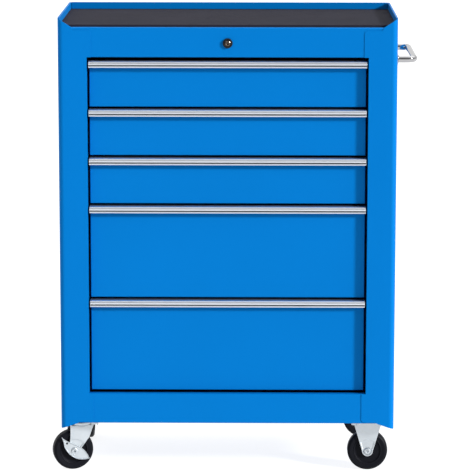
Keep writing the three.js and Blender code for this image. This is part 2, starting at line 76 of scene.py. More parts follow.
def at(x, y, z):
    """A point given in millimetres from the cabinet's middle, the front of its posts and the floor."""
    return Vector((MIDDLE_X + x * MM, FRONT_Y + y * MM, z * MM))


def size_of(node):
    """The lowest and highest corners of a CAD node in millimetres, from the same place as at()."""
    origin = at(0, 0, 0)
    return tuple((corner - origin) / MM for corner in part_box(node))


# Where shapes drawn in the cabinet's millimetres go.
CABINET = Matrix.Translation(at(0, 0, 0)) @ Matrix.Scale(MM, 4)

# Turns a shape that was extruded along Y so that it runs along X.
ALONG_X = Matrix(((0, 1, 0, 0), (1, 0, 0, 0), (0, 0, 1, 0), (0, 0, 0, 1)))

# ---- materials ----------------------------------------------------------------------------------


class Shader:
    """A material with one Principled shader, and short calls for the nodes that feed it."""

    def __init__(self, name, **uniform):
        self.material = bpy.data.materials.new(name)
        self.material.use_nodes = True
        self.nodes = self.material.node_tree.nodes
        self.links = self.material.node_tree.links
        self.surface = self.nodes["Principled BSDF"]
        for socket, value in uniform.items():
            self.surface.inputs[socket.replace("_", " ")].default_value = value
        self.place = self.nodes.new("ShaderNodeTexCoord").outputs["Object"]

    def feed(self, socket, value):
        """Drives one of the surface's sockets with a node's output."""
        self.links.new(value, self.surface.inputs[socket])

    def _set(self, node, inputs):
        for key, value in inputs.items():
            if isinstance(value, bpy.types.NodeSocket):
                self.links.new(value, node.inputs[key])
            else:
                node.inputs[key].default_value = value

    def stretched(self, scale):
        """The object's own coordinates, scaled by a different amount along each axis."""
        node = self.nodes.new("ShaderNodeMapping")
        self._set(node, {"Vector": self.place, "Scale": scale})
        return node.outputs["Vector"]

    def noise(self, scale, detail=2.0, roughness=0.5, place=None):
        node = self.nodes.new("ShaderNodeTexNoise")
        place = place or self.place
        self._set(node, {"Vector": place, "Scale": scale, "Detail": detail, "Roughness": roughness})
        return node.outputs["Fac"]

    def cells(self, scale):
        node = self.nodes.new("ShaderNodeTexVoronoi")
        self._set(node, {"Vector": self.place, "Scale": scale})
        return node.outputs["Distance"]

    def between(self, value, low, high, from_low=0.0, from_high=1.0):
        """A value's range, mapped onto the range from low to high."""
        node = self.nodes.new("ShaderNodeMapRange")
        limits = {"From Min": from_low, "From Max": from_high, "To Min": low, "To Max": high}
        self._set(node, {"Value": value, **limits})
        return node.outputs["Result"]

    def blend(self, amount, first, second):
        """A colour between two others."""
        node = self.nodes.new("ShaderNodeMix")
        node.data_type = "RGBA"
        self.links.new(amount, node.inputs["Factor"])
        for key, value in (("A", first), ("B", second)):
            socket = [s for s in node.inputs if s.name == key and s.type == "RGBA"][0]
            socket.default_value = (*value, 1.0)
        return [s for s in node.outputs if s.type == "RGBA"][0]

    def bump(self, height, distance, strength, under=None):
        """The normal of a surface with a height on it, which may lie on top of another bump."""
        node = self.nodes.new("ShaderNodeBump")
        self._set(node, {"Height": height, "Distance": distance, "Strength": strength})
        if under is not None:
            self.links.new(under, node.inputs["Normal"])
        return node.outputs["Normal"]


def blue_paint():
    shader = Shader("blue_paint", Metallic=0.15, Specular_IOR_Level=0.03)
    cloud = shader.noise(5.0, detail=3.0)
    shader.feed("Base Color", shader.blend(cloud, (0.0002, 0.128, 0.405), (0.0003, 0.141, 0.447)))
    shader.feed("Roughness", shader.between(shader.noise(40.0, detail=4.0), 0.36, 0.46))
    peel = shader.bump(shader.noise(420.0, detail=2.0), 0.00003, 0.3)
    shader.feed("Normal", shader.bump(shader.noise(2300.0, detail=1.0), 0.00001, 0.2, under=peel))
    return shader.material


def anodised_aluminium():
    shader = Shader("anodised_aluminium", Metallic=1.0)
    grain = shader.noise(900.0, detail=4.0, place=shader.stretched((0.012, 1.0, 1.0)))
    shader.feed("Base Color", shader.blend(grain, (0.68, 0.72, 0.78), (0.74, 0.78, 0.84)))
    shader.feed("Roughness", shader.between(grain, 0.34, 0.40))
    shader.feed("Normal", shader.bump(grain, 0.00001, 0.12))
    return shader.material


def mat_rubber():
    shader = Shader("mat_rubber", Metallic=0.0, Specular_IOR_Level=0.15)
    pebble = shader.cells(700.0)
    dust = shader.noise(14.0, detail=5.0, roughness=0.65)
    shader.feed("Base Color", shader.blend(dust, (0.0115, 0.0115, 0.018), (0.0195, 0.019, 0.029)))
    shader.feed("Roughness", shader.between(pebble, 0.74, 0.95, 0.0, 0.6))
    shader.feed("Normal", shader.bump(pebble, 0.0002, 0.5))
    return shader.material


def chrome_tube():
    shader = Shader("chrome_tube", Metallic=1.0)
    haze = shader.noise(60.0, detail=4.0)
    shader.feed("Base Color", shader.blend(haze, (0.40, 0.40, 0.41), (0.48, 0.48, 0.49)))
    shader.feed("Roughness", shader.between(haze, 0.04, 0.10))
    return shader.material


def lock_chrome():
    shader = Shader("lock_chrome", Metallic=1.0)
    turned = shader.noise(700.0, detail=3.0)
    shader.feed("Base Color", shader.blend(turned, (0.07, 0.052, 0.042), (0.14, 0.11, 0.09)))
    shader.feed("Roughness", shader.between(turned, 0.16, 0.30))
    return shader.material


def black_lacquer():
    shader = Shader("black_lacquer", Metallic=0.0, Specular_IOR_Level=0.15)
    cloud = shader.noise(260.0, detail=3.0)
    shader.feed("Base Color", shader.blend(cloud, (0.004, 0.005, 0.007), (0.010, 0.011, 0.014)))
    shader.feed("Roughness", shader.between(cloud, 0.24, 0.38))
    return shader.material


def zinc_plate():
    shader = Shader("zinc_plate", Metallic=0.85)
    cloud = shader.noise(45.0, detail=5.0, roughness=0.6)
    fine = shader.noise(1500.0, detail=2.0)
    shader.feed("Base Color", shader.blend(cloud, (0.46, 0.50, 0.53), (0.60, 0.64, 0.67)))
    shader.feed("Roughness", shader.between(cloud, 0.28, 0.44))
    shader.feed("Normal", shader.bump(fine, 0.00001, 0.4))
    return shader.material


def wheel_rubber():
    shader = Shader("wheel_rubber", Metallic=0.0, Specular_IOR_Level=0.045)
    cloud = shader.noise(70.0, detail=5.0, roughness=0.6)
    shader.feed("Base Color", shader.blend(cloud, (0.0040, 0.0045, 0.0065), (0.0085, 0.0090, 0.0120)))
    shader.feed("Roughness", shader.between(cloud, 0.34, 0.50))
    shader.feed("Normal", shader.bump(shader.noise(1800.0), 0.00002, 0.5))
    return shader.material


MATERIALS = {
    maker.__name__: maker()
    for maker in (
        blue_paint, anodised_aluminium, mat_rubber, chrome_tube,
        lock_chrome, black_lacquer, zinc_plate, wheel_rubber,
    )
}

# ---- mesh helpers -------------------------------------------------------------------------------

CREASE_ANGLE = 30  # edges sharper than this stay sharp where there is no bevel
FLAT_ANGLE = 0.4  # faces closer to each other than this count as one flat face
SAME_PLACE = 1e-6  # corners closer than this, in metres, count as one


def add_piece(name, bm, slot, body, stands_for=(), where=None, bevel=0.0, segments=2, angle=35):
    """Puts a mesh into the scene as a piece that rides on a body. A mesh drawn in millimetres is
    moved by where, and bevel rounds its sharp edges, in millimetres."""
    if where is not None:
        bm.transform(where)
    bmesh.ops.recalc_face_normals(bm, faces=bm.faces)
    mesh = bpy.data.meshes.new(name)
    bm.to_mesh(mesh)
    bm.free()
    mesh.shade_smooth()
    if not bevel:
        mesh.set_sharp_from_angle(angle=math.radians(CREASE_ANGLE))
    piece = bpy.data.objects.new(name, mesh)
    bpy.context.scene.collection.objects.link(piece)
    mesh.materials.append(MATERIALS[slot])
    if bevel:
        rounding = piece.modifiers.new("edges", "BEVEL")
        rounding.width = bevel * MM
        rounding.segments = segments
        rounding.limit_method = "ANGLE"
        rounding.angle_limit = math.radians(angle)
        rounding.use_clamp_overlap = True
    normals = piece.modifiers.new("normals", "WEIGHTED_NORMAL")
    normals.keep_sharp = True
    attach(piece, body)
    if stands_for:
        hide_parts(*stands_for)


def cad_copy(node):
    """A CAD node's mesh in metres, with each flat face in one piece."""
    bm = bmesh.new()
    bm.from_mesh(nodes[node].data)
    bmesh.ops.remove_doubles(bm, verts=bm.verts, dist=SAME_PLACE)
    bmesh.ops.dissolve_limit(
        bm, angle_limit=math.radians(FLAT_ANGLE), use_dissolve_boundaries=False,
        verts=bm.verts, edges=bm.edges)
    return bm


def refine(node, bevel, segments=2, suffix="sheet", bm=None):
    """Adds a piece of a CAD node's own shape, or of a changed copy of it, with rounded edges."""
    add_piece(
        f"{node}_{suffix}", bm or cad_copy(node), SLOT_OF[node], BODY_OF[node], [node],
        bevel=bevel, segments=segments)


def cut(bm, *cutters):
    """Cuts closed meshes out of another one, all of them in the same units."""
    scene = bpy.context.scene
    whole = bpy.data.objects.new("whole", bpy.data.meshes.new("whole"))
    bm.to_mesh(whole.data)
    bm.free()
    scene.collection.objects.link(whole)
    made = [whole]
    for cutter in cutters:
        bmesh.ops.recalc_face_normals(cutter, faces=cutter.faces)
        tool = bpy.data.objects.new("cutter", bpy.data.meshes.new("cutter"))
        cutter.to_mesh(tool.data)
        cutter.free()
        scene.collection.objects.link(tool)
        boolean = whole.modifiers.new("cut", "BOOLEAN")
        boolean.operation = "DIFFERENCE"
        boolean.solver = "EXACT"
        boolean.object = tool
        made.append(tool)
    graph = bpy.context.evaluated_depsgraph_get()
    result = bmesh.new()
    result.from_mesh(whole.evaluated_get(graph).to_mesh())
    for thing in made:
        mesh = thing.data
        bpy.data.objects.remove(thing)
        bpy.data.meshes.remove(mesh)
    return result


def arc(centre, radius, start, end, steps=8):
    """Points on an arc, with its angles in degrees."""
    angles = [math.radians(start + (end - start) * k / steps) for k in range(steps + 1)]
    return [(centre[0] + radius * math.cos(a), centre[1] + radius * math.sin(a)) for a in angles]


def prism(outline, y0, y1):
    """An outline of (x, z) points, extruded along Y."""
    bm = bmesh.new()
    front = [bm.verts.new((x, y0, z)) for x, z in outline]
    back = [bm.verts.new((x, y1, z)) for x, z in outline]
    bm.faces.new(front)
    bm.faces.new(back[::-1])
    for i in range(len(outline)):
        j = (i + 1) % len(outline)
        bm.faces.new((front[i], front[j], back[j], back[i]))
    return bm


def lathe(profile, segments):
    """A profile of (radius, y) points turned about the Y axis. A profile that starts and ends on
    the axis makes a solid of its own, and any other is closed into a ring."""
    bm = bmesh.new()
    turn = [2 * math.pi * k / segments for k in range(segments)]
    rings = []
    for radius, y in profile:
        if radius == 0:
            rings.append([bm.verts.new((0, y, 0))] * segments)
        else:
            rings.append([bm.verts.new((radius * math.cos(a), y, radius * math.sin(a))) for a in turn])
    pairs = list(zip(rings, rings[1:]))
    if profile[0][0] or profile[-1][0]:
        pairs.append((rings[-1], rings[0]))
    for a, b in pairs:
        for k in range(segments):
            n = (k + 1) % segments
            corners = dict.fromkeys((a[k], a[n], b[n], b[k]))
            if len(corners) > 2:
                bm.faces.new(corners)
    return bm


def join(*parts):
    """Several meshes as one."""
    whole = parts[0]
    for part in parts[1:]:
        mesh = bpy.data.meshes.new("part")
        part.to_mesh(mesh)
        part.free()
        whole.from_mesh(mesh)
        bpy.data.meshes.remove(mesh)
    return whole


def moved(bm, x=0.0, y=0.0, z=0.0):
    """The same mesh, shifted."""
    bmesh.ops.translate(bm, verts=bm.verts, vec=(x, y, z))
    return bm


def about(bm, axis):
    """Turns a mesh drawn about the Y axis so that +Y becomes +X or +Z."""
    angle, turned_about = (-math.pi / 2, "Z") if axis == "X" else (math.pi / 2, "X")
    bm.transform(Matrix.Rotation(angle, 4, turned_about))
    return bm


def smooth_step(value, low, high):
    """From 0 at low to 1 at high, level at both ends."""
    t = min(1.0, max(0.0, (value - low) / (high - low)))
    return t * t * (3 - 2 * t)


def sheet_of(rows, front, back):
    """A closed plate from rows of (x, z) points. front and back give its two faces' Y there."""
    bm = bmesh.new()
    faces = [
        [[bm.verts.new((x, side(x, z), z)) for x, z in row] for row in rows]
        for side in (front, back)
    ]
    for face in faces:
        for upper, lower in zip(face, face[1:]):
            for i in range(len(upper) - 1):
                bm.faces.new((upper[i], upper[i + 1], lower[i + 1], lower[i]))
    rims = []
    for face in faces:
        right = [row[-1] for row in face[1:-1]]
        left = [row[0] for row in face[1:-1]]
        rims.append([*face[0], *right, *face[-1][::-1], *left[::-1]])
    for i in range(len(rims[0])):
        j = (i + 1) % len(rims[0])
        bm.faces.new((rims[0][i], rims[0][j], rims[1][j], rims[1][i]))
    return bm


# ---- cabinet ------------------------------------------------------------------------------------

SIDE_EDGE = 0.3  # rounding of the side panels' edges
SHEET_EDGE = 0.25  # rounding of the other sheets' edges
SLIDE_EDGE = 0.3
SLIDE_GAP = 0.3  # between a slide and the sheet it is fixed to
POST_WIDTH = size_of("side_panel_right")[1].x - (size_of("slide_rail_1_right")[1].x + SLIDE_GAP)
LAP = 8.0  # how far a post's front laps over the rails
LAP_STRIP = 5.0  # width of the strip that is cut away beside a lap
LAP_CORNER = 7.0  # rounding of the lap's corners
LAP_TOP = 5.0  # the rail shows this far under the front lip beside each lap
LAP_BOTTOM = 2.0  # and this far above its own lower edge
LAP_SHOULDER = 28.5  # where a lap's upper edge ends, from the cabinet's side
LAP_FOOT = 30.0  # where its lower edge ends
LAP_LEAN = (3.0, 4.0)  # how far the short edges beyond those two ends slope

MAT_RIBS = {"pitch": 3.6, "depth": 0.5}
# One rib's groove, as shares of the pitch and of the groove's depth.
GROOVE = ((0.00, 1.0), (0.10, 0.15), (0.25, 0.0), (0.60, 0.0), (0.75, 0.15), (0.85, 1.0))


def lap_cutters():
    """What is cut from the right post's front: the lap's square corners and the strips beside them."""
    ceiling = size_of("front_top_rail")[1].z
    bottom = size_of("front_bottom_rail")[0].z
    outside = size_of("side_panel_right")[1].x
    inner = outside - POST_WIDTH - LAP
    beyond = inner - LAP_STRIP
    top = ceiling - LAP_TOP
    shoulder = outside - LAP_SHOULDER
    upper = [
        (beyond, ceiling + 1), (beyond, top - LAP_CORNER), (inner, top - LAP_CORNER),
        *arc((inner + LAP_CORNER, top - LAP_CORNER), LAP_CORNER, 180, 90),
        (shoulder, top), (shoulder + LAP_LEAN[0], ceiling + 1)]
    base = bottom + LAP_BOTTOM
    foot = outside - LAP_FOOT
    lower = [
        (beyond, bottom - 1), (foot, bottom - 1), (foot - LAP_LEAN[1], base),
        *arc((inner + LAP_CORNER, base + LAP_CORNER), LAP_CORNER, 270, 180),
        (beyond, base + LAP_CORNER)]
    return [prism(outline, -2, 1) for outline in (upper, lower)]


def side_panel(side):
    """A side with its posts, and the laps of the front post cut to shape."""
    cutters = lap_cutters()
    for cutter in cutters:
        if side == "left":
            bmesh.ops.scale(cutter, verts=cutter.verts, vec=(-1, 1, 1))
        cutter.transform(CABINET)
    node = f"side_panel_{side}"
    refine(node, SIDE_EDGE, 3, bm=cut(cad_copy(node), *cutters))


def ribbed_sheet(low, high, pitch, depth):
    """A rubber sheet between two corners in millimetres, with ribs that run from side to side."""
    count = round((high.y - low.y) / pitch)
    step = (high.y - low.y) / count
    profile = [(low.y, low.z)]
    for k in range(count):
        start = low.y + k * step
        profile += [(start + along * step, high.z - down * depth) for along, down in GROOVE]
    profile += [(high.y, high.z - depth), (high.y, low.z)]
    bm = prism(profile, low.x, high.x)
    bm.transform(ALONG_X)
    return bm


for side in SIDES:
    side_panel(side)
for node in ("front_top_rail", "front_bottom_rail", "top_panel", "bottom_panel"):
    refine(node, SHEET_EDGE)
add_piece(
    "tray_mat_ribbed", ribbed_sheet(*size_of("tray_mat"), **MAT_RIBS), "mat_rubber", "cabinet",
    ["tray_mat"], CABINET)

WELD_RADIUS = 3.2
WELD_DEPTH = 0.6
WELDS_UP = 10  # on each side of the back
WELDS_ACROSS = 7  # at its top and at its bottom
WELD_SIDE = 9.0  # from the back's side edges to the welds there
WELD_END = 30.0  # from its lower and upper edges to the first and last of them
WELD_BOTTOM = 12.0  # from the lower edge to the welds across the bottom
WELD_TOP = 24.0  # from the upper edge to the welds across the top


def back_panel():
    """The back, with the shallow dimples of the spot welds that hold it to the posts."""
    low, high = size_of("back_panel")
    half = (high.x - low.x) / 2 - WELD_SIDE
    rise = (high.z - low.z - 2 * WELD_END) / (WELDS_UP - 1)
    heights = [low.z + WELD_END + k * rise for k in range(WELDS_UP)]
    apart = 2 * half / (WELDS_ACROSS + 1)
    across = [-half + k * apart for k in range(1, WELDS_ACROSS + 1)]
    places = [(x, z) for x in (-half, half) for z in heights]
    places += [(x, z) for x in across for z in (low.z + WELD_BOTTOM, high.z - WELD_TOP)]
    profile = [
        (0, -WELD_DEPTH), (0.7 * WELD_RADIUS, -0.8 * WELD_DEPTH), (WELD_RADIUS, 0.05),
        (WELD_RADIUS, 1), (0, 1)]
    dimples = join(*(moved(lathe(profile, 16), x, high.y, z) for x, z in places))
    dimples.transform(CABINET)
    refine("back_panel", 0, bm=cut(cad_copy("back_panel"), dimples))


back_panel()

# ---- drawers ------------------------------------------------------------------------------------

FACE_BEND = 1.3  # radius of the bends round a drawer's face
LINER = 1.4  # thickness of the rubber in a drawer
LINER_LIFT = 6.8  # from a face's lower edge to the drawer's floor
LINER_MARGIN = 2.0
LINER_RIBS = {"pitch": 5.0, "depth": 0.4}

PULL_WALL = 1.5
PULL_SHOULDER = 5.0  # radius of a pull's upper edge
PULL_LIP = 3.0  # how far the lower edge is turned in
BEAD = 1.65  # radius of the bead along the lower edge
GROOVE_TOP = 7.4  # the groove above the bead, from the pull's top
GROOVE_FOOT = 9.2
GROOVE_DEPTH = 1.1
GROOVE_EDGE = 0.3  # height of the slope into the groove
# A black strip set into each pull's groove, as painted shade for the shadow inside the groove.
SHADE_STRIP_INSET = 0.5  # from the pull's ends
SHADE_STRIP_TOP = 7.7
SHADE_STRIP_FOOT = 9.0
SHADE_STRIP_DEPTHS = (0.55, 1.2)  # its front and back, from the pull's front


def drawer(number):
    """The drawer with its face's bends, and the rubber liner on its floor."""
    node = f"drawer_{number}"
    low, high = size_of(node)
    bm = cad_copy(node)
    face_y = at(0, low.y, 0).y
    bends = [
        edge for edge in bm.edges
        if all(abs(corner.co.y - face_y) < SAME_PLACE for corner in edge.verts)
    ]
    bmesh.ops.bevel(bm, geom=bends, offset=FACE_BEND * MM, segments=4, profile=0.5, affect="EDGES")
    refine(node, SHEET_EDGE, bm=bm)
    half = size_of(f"slide_runner_{number}_right")[0].x - SLIDE_GAP - LINER_MARGIN
    floor = low.z + LINER_LIFT
    liner = (
        Vector((-half, low.y + LINER_MARGIN, floor)),
        Vector((half, high.y - LINER_MARGIN, floor + LINER)))
    add_piece(
        f"drawer_{number}_liner", ribbed_sheet(*liner, **LINER_RIBS), "mat_rubber", node, (), CABINET)


def pull_profile(front, back, top, bottom):
    """The extrusion's section as (y, z): a rounded shoulder, a fine groove and a bead below it."""
    bend = (front + PULL_SHOULDER, top - PULL_SHOULDER)
    groove = front + GROOVE_DEPTH
    lip = front + PULL_LIP
    inside = bottom + PULL_WALL
    return [
        (back, top), *arc(bend, PULL_SHOULDER, 90, 180, 10),
        (front, top - GROOVE_TOP + GROOVE_EDGE), (groove, top - GROOVE_TOP),
        (groove, top - GROOVE_FOOT),
        *arc((front + BEAD, bottom + BEAD), BEAD, 110, 270, 8),
        (lip, bottom), (lip, inside), (front + PULL_WALL, inside),
        *arc(bend, PULL_SHOULDER - PULL_WALL, 180, 90, 8), (back, top - PULL_WALL)]


def drawer_pull(number):
    """The aluminium extrusion, and a black strip in its groove that is painted shade: it stands for the
    shadow inside the groove.
    """
    node = f"drawer_pull_{number}"
    low, high = size_of(node)
    bm = prism(pull_profile(low.y, high.y, high.z, low.z), low.x, high.x)
    bm.transform(ALONG_X)
    add_piece(
        f"{node}_extrusion", bm, "anodised_aluminium", BODY_OF[node], [node], CABINET,
        bevel=0.2, segments=2, angle=50)
    # The black strip in the groove is painted shade, standing for the groove's shadow.
    left, right = low.x + SHADE_STRIP_INSET, high.x - SHADE_STRIP_INSET
    foot, top = high.z - SHADE_STRIP_FOOT, high.z - SHADE_STRIP_TOP
    groove_shade_strip = prism(
        [(left, foot), (right, foot), (right, top), (left, top)],
        *(low.y + depth for depth in SHADE_STRIP_DEPTHS))
    add_piece(
        f"{node}_inlay", groove_shade_strip, "black_lacquer", BODY_OF[node], (), CABINET, bevel=0.15)


for number in DRAWERS:
    drawer(number)
    drawer_pull(number)
    for side in SIDES:
        refine(f"slide_rail_{number}_{side}", SLIDE_EDGE, suffix="channel")
        refine(f"slide_runner_{number}_{side}", SLIDE_EDGE, suffix="channel")

# ---- lock ---------------------------------------------------------------------------------------

THREAD_RADIUS = 7.5  # of the barrel behind its bezel
BARREL_GAP = 0.3  # between the barrel and the plug
KEYWAY_DEPTH = 11.0


def lock():
    """The turned barrel and plug with its keyway, and the gear behind them."""
    low, high = size_of("lock_barrel")
    centre = ((low.x + high.x) / 2, (low.z + high.z) / 2)
    plug_low, plug_high = size_of("lock_plug")
    bore = (plug_high.x - plug_low.x) / 2
    ring = (high.x - low.x) / 2
    front, rear = low.y, high.y
    barrel = [
        (bore + BARREL_GAP, rear), (bore + BARREL_GAP, front + 0.9),
        (bore + 0.9, front + 0.25), (bore + 1.5, front),
        (ring - 1.6, front), (ring - 0.5, front + 0.5), (ring, front + 1.6), (ring, front + 4),
        (THREAD_RADIUS, front + 4), (THREAD_RADIUS, rear)]
    add_piece(
        "lock_barrel_turned", moved(lathe(barrel, 64), centre[0], 0, centre[1]), "black_lacquer",
        "cabinet", ["lock_barrel"], CABINET)
    plug = [
        (0, plug_low.y + 2.4), (bore - 2.9, plug_low.y + 2.2), (bore - 2.3, plug_low.y + 0.3),
        (bore - 1.9, plug_low.y), (bore - 1.5, plug_low.y), (bore, plug_low.y + 0.95),
        (bore, plug_high.y), (0, plug_high.y)]
    slot = [(-0.8, -3), (0.8, -3), (0.8, 1.2), (1.5, 1.9), (1.5, 2.9), (-0.8, 2.9)]
    keyway = prism(slot, plug_low.y - 1, plug_low.y + 1 + KEYWAY_DEPTH)
    add_piece(
        "lock_plug_turned", moved(cut(lathe(plug, 48), keyway), centre[0], 0, centre[1]),
        "lock_chrome", "lock_core", ["lock_plug"], CABINET)
    refine("lock_nut", 0.5, suffix="hexagon")
    refine("lock_rod", 0.3, suffix="bar")
    refine("lock_bar", 0.3, suffix="strip")


lock()

# ---- push handle --------------------------------------------------------------------------------

HANDLE_BEND = 18.0
HANDLE_RADIUS = 6.25
BEND_STEPS = 14
ROD_SIDES = 40
ROD_START = 0.2  # from the side panel to the rod's ends, inside its feet


def handle():
    """The bent rod and its two turned feet."""
    low, high = size_of("side_handle")
    wall = low.x
    foot = (high.z - low.z) / 2
    middle = (low.z + high.z) / 2
    legs = (low.y + foot, high.y - foot)
    radius = HANDLE_RADIUS
    grip = high.x - radius
    path = [(wall + ROD_START, legs[0])]
    for corner, before, after in (
        ((grip, legs[0]), (grip - HANDLE_BEND, legs[0]), (grip, legs[0] + HANDLE_BEND)),
        ((grip, legs[1]), (grip, legs[1] - HANDLE_BEND), (grip - HANDLE_BEND, legs[1])),
    ):
        for k in range(BEND_STEPS + 1):
            t = k / BEND_STEPS
            path.append(tuple(
                (1 - t) ** 2 * before[i] + 2 * t * (1 - t) * corner[i] + t * t * after[i]
                for i in (0, 1)))
    path.append((wall + ROD_START, legs[1]))
    bm = bmesh.new()
    rings = []
    for i, point in enumerate(path):
        ahead = Vector(path[min(i + 1, len(path) - 1)])
        behind = Vector(path[max(i - 1, 0)])
        along = (ahead - behind).normalized()
        across = Vector((-along.y, along.x))
        ring = []
        for k in range(ROD_SIDES):
            a = 2 * math.pi * k / ROD_SIDES
            x, y = Vector(point) + across * radius * math.cos(a)
            ring.append(bm.verts.new((x, y, middle + radius * math.sin(a))))
        rings.append(ring)
    for a, b in zip(rings, rings[1:]):
        for k in range(ROD_SIDES):
            n = (k + 1) % ROD_SIDES
            bm.faces.new((a[k], a[n], b[n], b[k]))
    bm.faces.new(rings[0][::-1])
    bm.faces.new(rings[-1])
    add_piece("side_handle_rod", bm, "chrome_tube", "cabinet", ["side_handle"], CABINET)
    flange = [
        (0, 0), (foot - 0.3, 0), (foot, 0.4), (foot, 1.7), (foot - 0.4, 2.5), (foot - 1.4, 3),
        (radius + 1.6, 3.1), (radius + 0.5, 3.7), (radius - 0.3, 5), (0, 5)]
    for name, y in zip(ENDS, legs):
        bm = moved(about(lathe(flange, 64), "X"), wall, y, middle)
        add_piece(f"side_handle_foot_{name}", bm, "chrome_tube", "cabinet", (), CABINET)


handle()

# ---- castors ------------------------------------------------------------------------------------

LEG_FRONT = -15.5  # outer face of a castor's leg, from the middle of its wheel
LEG_SHEET = 2.0
LEG_END = 10.0  # radius of a leg's lower end, about the axle
LEG_COLUMNS = 34
END_ROWS = 14  # round a leg's lower end
END_STEP = 6.2  # degrees from one to the next
FIXED_ROWS = 50  # on a fixed leg's straight edges
FORK_ROWS = 26  # on each of a fork's two straight stretches
PLAY = 0.3  # between a leg, a lever and a rivet's head
ARC_RADIUS = 22.0  # the round pressing about the axle
PRESS_DEPTH = 1.2
PRESS_RAMP = 1.0  # width of the pressing's wall
RIM = 3.2  # the pressing stays this far from a leg's edges
RIM_RAMP = 1.4
FIXED_HALF = 27.2  # half the length of a fixed leg's top edge
FORK_HALF = 22.0  # the same for a fork's leg
LEG_SINK = 1.2  # from the top of a fixed castor's plate to its legs, which end inside the plate
KNEE_HEIGHT = 62.7  # where a fork's edges bend
KNEE_LEFT = -0.5  # how far they have moved there
KNEE_RIGHT = 13.7  # from the king pin's axis
RACE_HEIGHT = 5.0  # from a fork's sheet to the top of its cup
RACE_GAP = 0.6  # from the cup to the part of the race that is fixed to the plate
SHOULDER = 5.4  # rounding of a wheel's tread
PLATE_HALF = (31.5, 29.0)  # half of a plate's length and width
PLATE_THICKNESS = 2.5
PLATE_CORNER = 5.0
BOLT_PLACES = [(x, y) for x in (-25, 25) for y in (-21, 21)]


def castor_place(joint):
    """The frame of a wheel: X away from the king pin's side, Y along the axle, Z up from the floor."""
    axle = Vector(JOINTS[joint]["pos_m"])
    along = Vector(JOINTS[joint]["axis"]).normalized()
    up = Vector((0, 0, 1))
    side = along.cross(up)
    turn = Matrix((side, along, up)).transposed().to_4x4()
    return Matrix.Translation((axle.x, axle.y, 0)) @ turn @ Matrix.Scale(MM, 4)


def axle_height(joint):
    """How far a wheel's axle is above the floor, in millimetres."""
    return JOINTS[joint]["pos_m"][2] / MM


def wheel(node, joint):
    """A moulded wheel with a hub, a sunken web, a raised ring and a tread with round shoulders."""
    height = axle_height(joint)
    hub = [(4.4, 11.2), (5.2, 12), (10.2, 12), (11, 11.6)]
    web = [(11.8, 10.2), (13, 9.3), (17, 9.0), (22.5, 9.0)]
    ring = [(23.6, 9.6), (24.4, 10.9), (25.2, 11.3), (26.2, 11.0), (26.8, 10.7)]
    half = [*hub, *web, *ring, (31, 11.4), (33, 11.5)]
    half += arc((height - SHOULDER, 5.7), SHOULDER, 75, 0, 5)
    half.append((height, 3.5))
    profile = [(r, -y) for r, y in half] + [(r, y) for r, y in reversed(half)]
    bm = moved(lathe(profile, 96), 0, 0, height)
    add_piece(f"{node}_moulded", bm, "wheel_rubber", BODY_OF[node], [node], castor_place(joint))


def axle(node, joint, front):
    """A hollow rivet through the wheel, rolled over at the front and flat behind."""
    height = axle_height(joint)
    back = -LEG_FRONT + PLAY
    profile = [
        (0, front + 5), (1.7, front + 5), (1.9, front - 1.0), (2.6, front - 1.8), (3.8, front - 2.0),
        (5.2, front - 1.5), (6, front - 0.5), (6, front), (4, front), (4, back), (6, back),
        (6, back + 1.2), (5, back + 2.2), (0, back + 2.5)]
    bm = moved(lathe(profile, 40), 0, 0, height)
    add_piece(f"{node}_rivet", bm, "zinc_plate", BODY_OF[node], [node], castor_place(joint))


def pressed_leg(edges, height, side):
    """One leg, from its top edge down to the round end about the axle. edges gives its left and
    right border at each height from the top down, and side is -1 for the front leg."""
    borders = list(edges)
    for k in range(1, END_ROWS + 1):
        a = math.radians(END_STEP * k)
        half = LEG_END * math.cos(a)
        borders.append((height - LEG_END * math.sin(a), -half, half))
    rows = [
        [(left + (right - left) * k / LEG_COLUMNS, z) for k in range(LEG_COLUMNS + 1)]
        for z, left, right in borders
    ]
    limits = {round(z, 4): (left, right) for z, left, right in borders}

    def outer(x, z):
        left, right = limits[round(z, 4)]
        radial = math.hypot(x, z - height)
        rim = min(x - left, right - x) if z > height else LEG_END - radial
        inside = smooth_step(ARC_RADIUS - radial, 0, PRESS_RAMP)
        off_rim = smooth_step(rim, RIM - RIM_RAMP, RIM)
        return side * (-LEG_FRONT - PRESS_DEPTH * inside * off_rim)

    def inner(x, z):
        return outer(x, z) - side * LEG_SHEET

    return sheet_of(rows, outer, inner)


def both_legs(borders, height):
    """The front and the back leg of a castor as one mesh."""
    return join(*(pressed_leg(borders, height, side) for side in (-1, 1)))


def tapered(corners, steps):
    """Borders (height, left, right) between the corners of a leg, from the top down."""
    borders = []
    for (z0, l0, r0), (z1, l1, r1) in zip(corners, corners[1:]):
        for k in range(steps):
            t = k / steps
            borders.append((z0 + (z1 - z0) * t, l0 + (l1 - l0) * t, r0 + (r1 - r0) * t))
    borders.append(corners[-1])
    return borders


def rounded_plate(low, high, radius):
    """A flat plate between two corners, with rounded corners."""
    corners = ((high.x, high.y, 0), (low.x, high.y, 90), (low.x, low.y, 180), (high.x, low.y, 270))
    outline = []
    for x, y, start in corners:
        inward = Vector((x, y)) - radius * Vector((math.copysign(1, x), math.copysign(1, y)))
        outline += arc(inward, radius, start, start + 90, 6)
    bm = prism(outline, -high.z, -low.z)
    bm.transform(Matrix.Rotation(-math.pi / 2, 4, "X"))
    return bm


def hex_bolt(x, y, top):
    """A bolt's washer and hexagon head under a plate."""
    washer = about(lathe([(0, -1.0), (6.2, -1.0), (6.6, -0.6), (6.6, 0), (0, 0)], 32), "Z")
    head = [(0, -5.2), (4.4, -5.2), (5.4, -4.7), (5.77, -4.2), (5.77, -1.0), (0, -1.0)]
    return [moved(washer, x, y, top), moved(about(lathe(head, 6), "Z"), x, y, top)]


